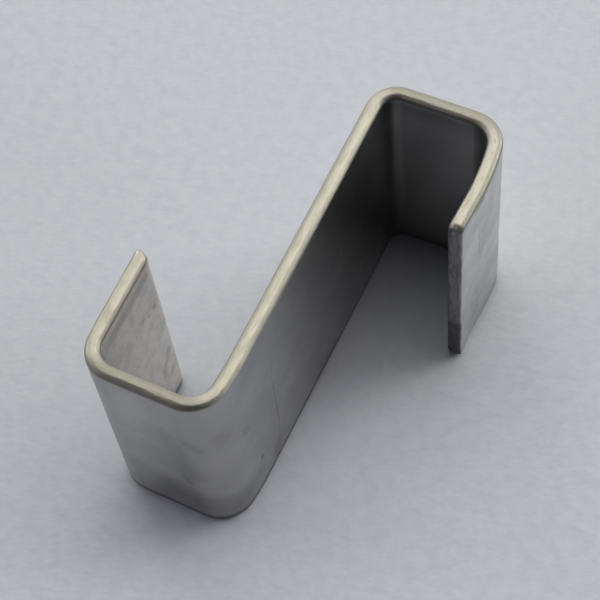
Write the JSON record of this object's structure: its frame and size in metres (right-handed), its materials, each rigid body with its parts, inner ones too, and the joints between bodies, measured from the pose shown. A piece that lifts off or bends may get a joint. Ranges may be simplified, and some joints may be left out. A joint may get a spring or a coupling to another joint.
{
  "type": "greenhouse glazing clip",
  "caption": "Sheet-metal clip folded into an S of two square hooks, which holds two overlapped panes of a greenhouse roof edge to edge.",
  "frame": {"origin": "middle of the clip seen from above, in the plane of the lower cut edge that it stands on", "axes": "+Z across the strip's width, from the lower edge to the upper one; +Y along the web, towards the second hook; +X towards the second hook's lip"},
  "size_m": [0.0106, 0.0152, 0.01],
  "materials": {
    "steel": "bare rolled stainless sheet, softly reflective, with faint streaks and small dark spots"
  },
  "bodies": {
    "root": {"clip": "steel"}
  },
  "joints": []
}
